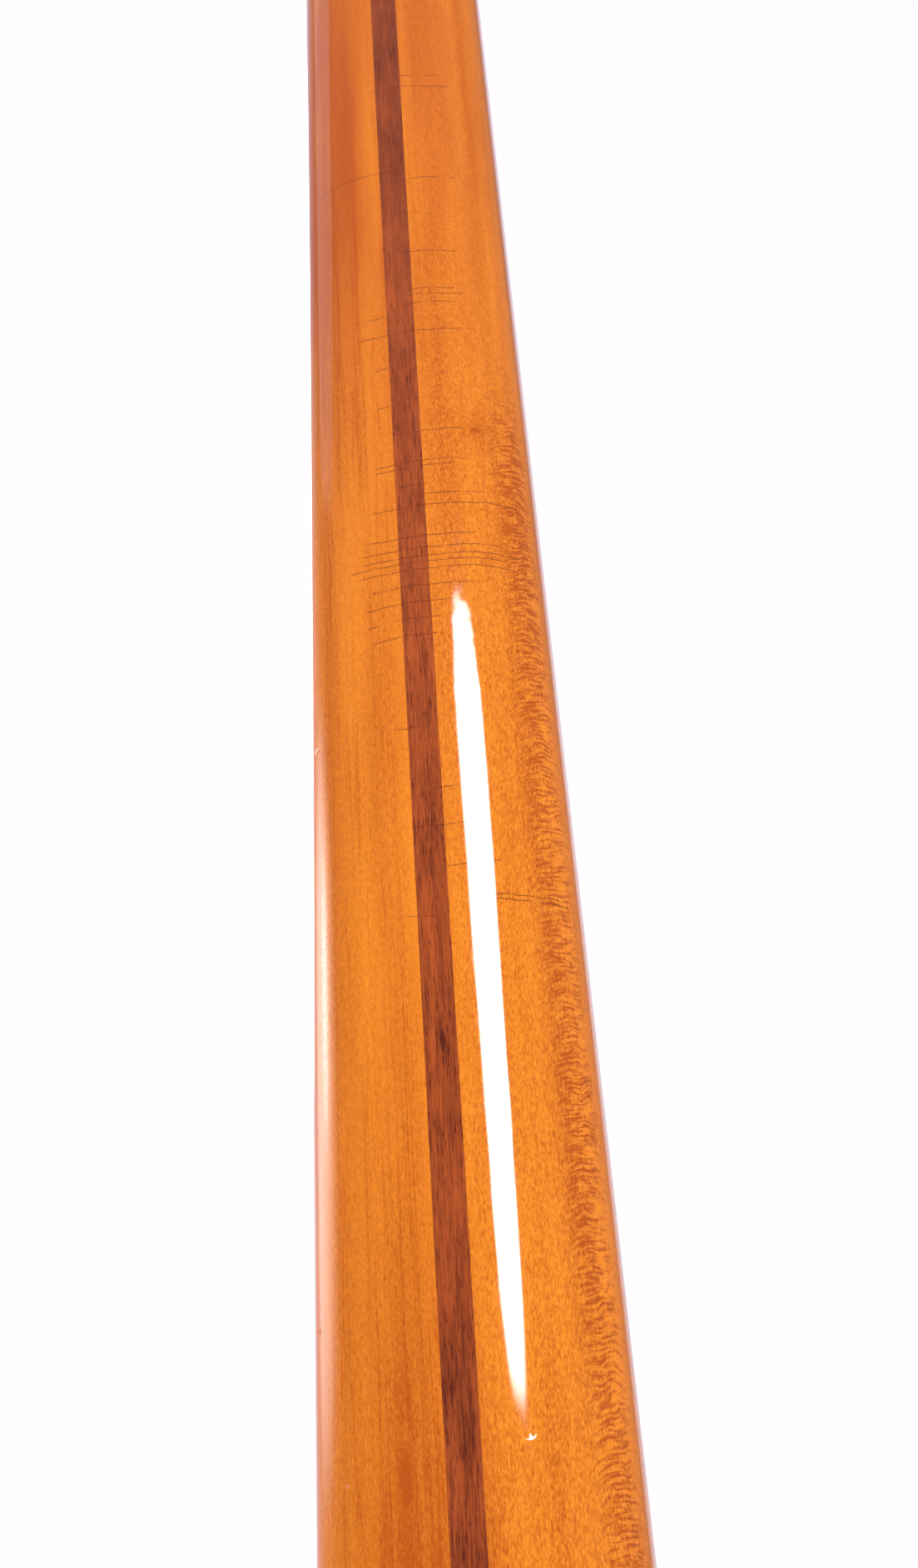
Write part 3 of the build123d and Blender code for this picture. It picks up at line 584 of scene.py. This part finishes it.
# ---- neck blank ----------------------------------------------------------------------------------------------------
def side_band(bm, sizes, heights, side):
    """The back from one edge to the stripe's edge, side 1 for low strings and -1 for high."""
    def place(column, row):
        z = heights[row]
        level = back_level(sizes, STRIPE_X, z)
        last = math.atan2(GLUE_Y - level, STRIPE_X)
        turn = last * column / SIDE_COLUMNS
        if column == SIDE_COLUMNS:
            return Vector((side * STRIPE_X, level, z))
        point = back_point(sizes, turn, z)
        return Vector((side * point.x, point.y, z))

    sheet(bm, SIDE_COLUMNS, len(heights) - 1, place)


def middle_patch(bm, sizes, heights, above=None):
    """The back between the stripe's edges: plain, or bending into the round end that it lies above or below."""
    low, high = heights[0], heights[-1]

    def place(column, row):
        x = mix(-STRIPE_X, STRIPE_X, column / MIDDLE_COLUMNS)
        z = heights[row]
        if above is not None:
            low_curve, high_curve = stripe_ends(x)
            start, end = (high_curve, high) if above else (low, low_curve)
            z = mix(start, end, (z - low) / (high - low))
        return Vector((x, back_level(sizes, x, z), z))

    sheet(bm, MIDDLE_COLUMNS, len(heights) - 1, place)


def front_face(bm, sizes, heights):
    """Glue plane under the board and the scoop above it."""
    def place(column, row):
        z = heights[row]
        reach = back_point(sizes, 0.0, z).x
        return Vector((mix(-reach, reach, column / FRONT_COLUMNS), top_level(sizes, z), z))

    sheet(bm, FRONT_COLUMNS, len(heights) - 1, place)


def cut_channel(bm, sizes):
    """Walls and floor of the stripe's channel, from the open edge round it."""
    rim = [e for e in bm.edges if e.is_boundary and max(abs(v.co.x) for v in e.verts) < STRIPE_X * 1.001
           and STRIPE_LOW.z - MM < e.verts[0].co.z < STRIPE_HIGH.z + MM and e.verts[0].co.y < GLUE_Y * 0.8]
    made = bmesh.ops.extrude_edge_only(bm, edges=rim)["geom"]
    verts = [g for g in made if isinstance(g, bmesh.types.BMVert)]
    bmesh.ops.translate(bm, verts=verts, vec=(0.0, sizes.channel_depth, 0.0))
    floor_edges = [g for g in made if isinstance(g, bmesh.types.BMEdge) and all(v in verts for v in g.verts)]
    bmesh.ops.edgeloop_fill(bm, edges=floor_edges)


def headstock_copy(cut_z):
    """Copy of the frame's headstock plate above a height, closed where it is cut."""
    source = bmesh.new()
    source.from_mesh(frame["nodes"]["neck_blank"].data)
    bmesh.ops.remove_doubles(source, verts=source.verts, dist=2e-6)
    geom = source.verts[:] + source.edges[:] + source.faces[:]
    cut = bmesh.ops.bisect_plane(source, geom=geom, dist=1e-7, plane_co=(0, 0, cut_z), plane_no=(0, 0, 1),
                                 clear_inner=True)
    rim = [g for g in cut["geom_cut"] if isinstance(g, bmesh.types.BMEdge)]
    bmesh.ops.edgeloop_fill(source, edges=rim)
    return source


def solid_from(bm, name):
    """Plain closed object used while cutting, removed afterwards."""
    bmesh.ops.remove_doubles(bm, verts=bm.verts, dist=1e-6)
    bmesh.ops.recalc_face_normals(bm, faces=bm.faces)
    return linked(name, bm)


def combine(base, other, operation):
    """Applies a boolean of two closed objects to the first and removes the second."""
    modifier = base.modifiers.new("combine", "BOOLEAN")
    modifier.operation = operation
    modifier.solver = "EXACT"
    modifier.object = other
    graph = bpy.context.evaluated_depsgraph_get()
    graph.update()
    result = bpy.data.meshes.new_from_object(base.evaluated_get(graph))
    base.modifiers.clear()
    base.data = result
    bpy.data.objects.remove(other)


def round_cutter(bm, centre, axis, radius, depth, segments=40):
    """Closed round column from a centre along an axis."""
    turn = Vector((0, 0, 1)).rotation_difference(Vector(axis)).to_matrix().to_4x4()
    place = Matrix.Translation(Vector(centre) + Vector(axis) * depth / 2) @ turn
    bmesh.ops.create_cone(bm, cap_ends=True, segments=segments, radius1=radius, radius2=radius, depth=depth,
                          matrix=place)


def neck_cutters():
    """Screw holes and the truss rod's hole in the heel."""
    bm = bmesh.new()
    mount = next(m for m in frame["record"]["mounts"] if m["name"] == "heel_bolts")
    half_x, half_z = (mount["dims"][key] * MM / 2 for key in ("spacing_x_mm", "spacing_y_mm"))
    for x in (-half_x, half_x):
        for z in (-half_z, half_z):
            round_cutter(bm, (x, -MM, z), (0, 1, 0), mount["dims"]["hole_r_mm"] * MM, SCREW_HOLE_DEPTH)
    low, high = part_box("truss_rod_washer")
    centre = (low + high) / 2
    centre.z = HEEL_Z - MM
    radius = (high.x - low.x) / 2 + ROD_HOLE_SPARE
    round_cutter(bm, centre, (0, 0, 1), radius, high.z - HEEL_Z + MM, segments=64)
    return bm


def plug_cutter():
    """Round-ended pocket of the walnut plug."""
    bm = bmesh.new()
    radius = (PLUG_HIGH.x - PLUG_LOW.x) / 2
    bmesh.ops.create_uvsphere(bm, u_segments=48, v_segments=24, radius=radius)
    lower = [v for v in bm.verts if v.co.z < 0.0001 * MM]
    centre_z = PLUG_HIGH.z - radius
    stretch = centre_z - PLUG_LOW.z
    bmesh.ops.translate(bm, verts=bm.verts, vec=(0, PLUG_LOW.y + radius, centre_z))
    bmesh.ops.translate(bm, verts=lower, vec=(0, 0, -stretch))
    return bm


def nearest(heights, z):
    """Index of the ring nearest to a height."""
    return min(range(len(heights)), key=lambda i: abs(heights[i] - z))


class BASSNECK_OT_blank(bpy.types.Operator):
    """Models the maple blank from its section, with the frame's headstock plate joined on"""
    bl_idname = "bassneck.blank"
    bl_label = "Neck blank"

    def execute(self, context):
        sizes, colours = context.scene.bassneck_sizes, context.scene.bassneck_colours
        heights = ring_heights(sizes)
        bm = bmesh.new()
        for side in (1, -1):
            side_band(bm, sizes, heights, side)
        low_end, high_end = stripe_ends(STRIPE_X)
        low_start, low_stop = nearest(heights, low_end - LOW_PATCH), nearest(heights, low_end)
        high_start, high_stop = nearest(heights, high_end), nearest(heights, high_end + HIGH_PATCH)
        middle_patch(bm, sizes, heights[low_start:low_stop + 1], above=False)
        middle_patch(bm, sizes, heights[high_start:high_stop + 1], above=True)
        middle_patch(bm, sizes, heights[:low_start + 1])
        middle_patch(bm, sizes, heights[high_stop:])
        front_face(bm, sizes, heights)
        bmesh.ops.remove_doubles(bm, verts=bm.verts, dist=2e-6)
        cut_channel(bm, sizes)
        bmesh.ops.holes_fill(bm, edges=[e for e in bm.edges if e.is_boundary], sides=0)
        shell = solid_from(bm, "neck_shell")
        head = headstock_copy(NUT_Z + sizes.head_root - HEADSTOCK_OVERLAP)
        combine(shell, solid_from(head, "head"), "UNION")
        combine(shell, solid_from(neck_cutters(), "holes"), "DIFFERENCE")
        combine(shell, solid_from(plug_cutter(), "pocket"), "DIFFERENCE")
        whole = bmesh.new()
        whole.from_mesh(shell.data)
        bpy.data.objects.remove(shell)
        maple = maple_finish("lacquered_maple", colours.maple_light, colours.maple_deep, colours.maple_painted_sheen,
                             colours.check)
        made = piece("maple_neck", whole, maple, "neck")
        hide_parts("neck_blank")
        return {"FINISHED"}


class BASSNECK_OT_stripe(bpy.types.Operator):
    """Models the walnut stripe let into the back and finishes the walnut plug"""
    bl_idname = "bassneck.stripe"
    bl_label = "Centre stripe"

    def execute(self, context):
        sizes, colours = context.scene.bassneck_sizes, context.scene.bassneck_colours
        walnut = walnut_finish("lacquered_walnut", colours.walnut_light, colours.walnut_deep)
        bm = bmesh.new()

        def place(column, row):
            x = -STRIPE_X * math.cos(math.pi * column / STRIPE_COLUMNS)
            low, high = stripe_ends(x)
            z = mix(low, high, row / STRIPE_ROWS)
            return Vector((x, back_level(sizes, x, z), z))

        sheet(bm, STRIPE_COLUMNS, STRIPE_ROWS, place)
        extruded = bmesh.ops.extrude_face_region(bm, geom=bm.faces[:])["geom"]
        inner = [g for g in extruded if isinstance(g, bmesh.types.BMVert)]
        bmesh.ops.translate(bm, verts=inner, vec=(0, sizes.channel_depth - STRIPE_GAP, 0))
        made = piece("walnut_stripe", bm, walnut, "neck")
        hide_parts("centre_stripe")
        paint("headstock_plug", walnut)
        return {"FINISHED"}


# ---- carried-over pieces -------------------------------------------------------------------------------------------
def paint(node, material):
    """Gives a frame node its material."""
    data = frame["nodes"][node].data
    data.materials.clear()
    data.materials.append(material)


class BASSNECK_OT_board(bpy.types.Operator):
    """Finishes the fingerboard, its dots, the string nut and the frets"""
    bl_idname = "bassneck.board"
    bl_label = "Fingerboard"

    def execute(self, context):
        colours = context.scene.bassneck_colours
        light = colours.board_light
        # Here the painted sheen colour is the board's light colour.
        paint("fingerboard", maple_finish("board_maple", light, colours.board_deep, light))
        black = black_finish("black_dot", colours.black)
        for node in ("face_dots", "side_dots"):
            paint(node, black)
        paint("string_nut", bone_finish("polished_bone", colours.bone))
        wire = metal_finish("fret_wire", colours.fret, roughness=0.16, scratch=0.004, wear=0.5)
        for node in frame["nodes"]:
            if node.startswith("fret_"):
                paint(node, wire)
        return {"FINISHED"}


class BASSNECK_OT_truss(bpy.types.Operator):
    """Finishes the truss rod, its anchor, washer and adjusting nut"""
    bl_idname = "bassneck.truss"
    bl_label = "Truss rod"

    def execute(self, context):
        colours = context.scene.bassneck_colours
        steel = metal_finish("drawn_steel", colours.steel, roughness=0.32, scratch=0.02, wear=0.8)
        for node in ("truss_rod", "truss_rod_anchor", "truss_rod_washer", "truss_rod_nut"):
            paint(node, steel)
        return {"FINISHED"}


class BASSNECK_OT_tuners(bpy.types.Operator):
    """Finishes the tuners, their bushings and screws, and the string tree"""
    bl_idname = "bassneck.tuners"
    bl_label = "Tuners"

    def execute(self, context):
        colours = context.scene.bassneck_colours
        nickel = metal_finish("nickel_plate", colours.nickel, roughness=0.10, scratch=0.004, wear=0.6)
        brass = metal_finish("gear_brass", colours.brass, roughness=0.24, scratch=0.010, wear=0.7)
        for node in frame["nodes"]:
            if node.startswith(("tuner_", "string_tree")):
                paint(node, brass if node.endswith("_gear") else nickel)
        return {"FINISHED"}


# ---- studio --------------------------------------------------------------------------------------------------------
FILM_HEIGHT_MM = 36.0
LENS_MM = 44.74
CAMERA_PLACE = Vector((48.6, -320.9, 139.5)) * MM
CAMERA_AHEAD = Vector((-0.1148, 0.8791, 0.4627)).normalized()
CAMERA_RIGHT = Vector((0.9856, 0.1590, -0.0576)).normalized()
BACK_AIM = Vector((10.0, 4.0, 265.0)) * MM
FRONT_AIM = Vector((0.0, 25.0, 300.0)) * MM
FLOOR_RADIUS = 6.0


def direction(azimuth, elevation):
    """Unit vector from the neck's back: azimuth 0 is straight out of the back, positive towards the low strings."""
    a, e = math.radians(azimuth), math.radians(elevation)
    return Vector((math.sin(a) * math.cos(e), -math.cos(a) * math.cos(e), math.sin(e)))


def softbox(name, aim, towards, distance, size, radiance, fade, power=2.0, roll=0.0, taper=0.0):
    """Light facing a point of the neck from a direction, fading over a share of its half width to rounded edges."""
    width, height = size
    data = bpy.data.lights.new(name, "AREA")
    data.shape = "RECTANGLE"
    data.size, data.size_y = width, height
    data.energy = radiance * math.pi * width * height
    data.use_nodes = True
    nodes = Nodes(data.node_tree)
    across, up, _ = nodes.split(nodes.node("ShaderNodeNewGeometry", output="Parametric"))
    narrow = (1.0 - up) * taper + 1.0
    edge = abs((across * 2.0 - 1.0) * narrow) ** power + abs(up * 2.0 - 1.0) ** (power * 1.6)
    nodes.feed(data.node_tree.nodes["Emission"].inputs["Strength"], nodes.ramp(edge, 1.0, 1.0 - fade))
    made = bpy.data.objects.new(name, data)
    turn = towards.to_track_quat("Z", "Y").to_matrix().to_4x4()
    roll_turn = Matrix.Rotation(math.radians(roll), 4, "Z")
    made.matrix_world = Matrix.Translation(aim + towards * distance) @ turn @ roll_turn
    made.visible_camera = False
    bpy.context.scene.collection.objects.link(made)


def studio_world(colours):
    """White backdrop behind the neck, and a dimmer room that its back faces, lighter overhead."""
    world = bpy.data.worlds.new("studio")
    world.use_nodes = True
    nodes = Nodes(world.node_tree)
    across, ahead, up = nodes.split(nodes.node("ShaderNodeTexCoord", output="Generated"))
    overhead = nodes.ramp(up, 0.30, 0.90) * nodes.ramp(ahead, 0.0, -0.45)
    dim = nodes.blend(overhead.math("MAXIMUM", nodes.ramp(across, 0.3, 1.0, 0.0, 0.5)), colours.room, colours.ceiling)
    behind = (ahead - across * 2.4).math("MINIMUM", ahead + across * 0.3)
    light = nodes.blend(nodes.ramp(behind, -0.20, 0.50), dim, colours.sweep)
    seen = nodes.node("ShaderNodeLightPath", output="Is Camera Ray")
    background = world.node_tree.nodes["Background"]
    nodes.feed(background.inputs["Color"], nodes.blend(seen, light, colours.backdrop))
    return world


class BASSNECK_OT_stage(bpy.types.Operator):
    """Sets up the camera, the softboxes, the white studio and its floor"""
    bl_idname = "bassneck.stage"
    bl_label = "Studio"

    def execute(self, context):
        scene = context.scene
        colours = scene.bassneck_colours
        scene.view_settings.view_transform = "Standard"
        data = bpy.data.cameras.new("camera")
        data.sensor_fit = "VERTICAL"
        data.sensor_height = FILM_HEIGHT_MM
        data.lens = LENS_MM
        data.clip_start = 0.01
        camera = bpy.data.objects.new("camera", data)
        up = CAMERA_RIGHT.cross(CAMERA_AHEAD).normalized()
        right = CAMERA_AHEAD.cross(up)
        turn = Matrix((right, up, -CAMERA_AHEAD)).transposed().to_4x4()
        camera.matrix_world = Matrix.Translation(CAMERA_PLACE) @ turn
        scene.collection.objects.link(camera)
        scene.camera = camera

        scene.world = studio_world(colours)
        softbox("key_softbox", BACK_AIM, direction(13.0, 22.3), 1.62, size=(0.52, 0.84), radiance=32.0, fade=0.45,
                power=3.0, roll=-6.0, taper=0.55)
        softbox("side_softbox", BACK_AIM, direction(-101.0, 22.0), 1.62, size=(0.34, 0.38), radiance=11.0, fade=1.0,
                power=1.4)
        softbox("side_glow", BACK_AIM, direction(-106.0, 18.5), 1.62, size=(1.50, 0.84), radiance=3.6, fade=1.0)
        softbox("side_panel", BACK_AIM, direction(-84.0, 52.0), 1.62, size=(0.66, 0.75), radiance=0.8, fade=0.5,
                power=4.0)
        softbox("front_softbox", FRONT_AIM, direction(200.0, 35.0), 2.0, size=(1.3, 1.3), radiance=7.0, fade=0.6)

        bm = bmesh.new()
        bmesh.ops.create_circle(bm, cap_ends=True, segments=96, radius=FLOOR_RADIUS)
        bmesh.ops.translate(bm, verts=bm.verts, vec=(0, 0, cad_box[0].z))
        ground = linked("studio_floor", bm)
        matt = Finish("floor_matt", Roughness=0.6, Emission_Strength=0.4)
        grain = matt.noise((0.002, 0.002, 0.002), 2.0)
        tint = matt.blend(grain, tuple(c * 0.97 for c in colours.floor), colours.floor)
        ground.data.materials.append(matt.set(Base_Color=tint, Emission_Color=tint))
        return {"FINISHED"}


class BASSNECK_PT_panel(bpy.types.Panel):
    """Sidebar panel with one button for each piece"""
    bl_idname = "BASSNECK_PT_panel"
    bl_label = "Bass Neck"
    bl_space_type = "VIEW_3D"
    bl_region_type = "UI"
    bl_category = "Bass Neck"

    def draw(self, context):
        for operator in OPERATORS:
            self.layout.operator(operator.bl_idname)
        for group in (context.scene.bassneck_sizes, context.scene.bassneck_colours):
            for key in group.__annotations__:
                self.layout.prop(group, key)


OPERATORS = (BASSNECK_OT_stage, BASSNECK_OT_blank, BASSNECK_OT_stripe, BASSNECK_OT_board, BASSNECK_OT_truss,
             BASSNECK_OT_tuners)
CLASSES = (NeckSizes, FinishColours, *OPERATORS, BASSNECK_PT_panel)


def register():
    for made in CLASSES:
        bpy.utils.register_class(made)
    bpy.types.Scene.bassneck_sizes = PointerProperty(type=NeckSizes)
    bpy.types.Scene.bassneck_colours = PointerProperty(type=FinishColours)


def unregister():
    del bpy.types.Scene.bassneck_sizes
    del bpy.types.Scene.bassneck_colours
    for made in reversed(CLASSES):
        bpy.utils.unregister_class(made)


def main():
    register()
    for operator in OPERATORS:
        group, name = operator.bl_idname.split(".")
        getattr(getattr(bpy.ops, group), name)()


if __name__ == "__main__":
    main()
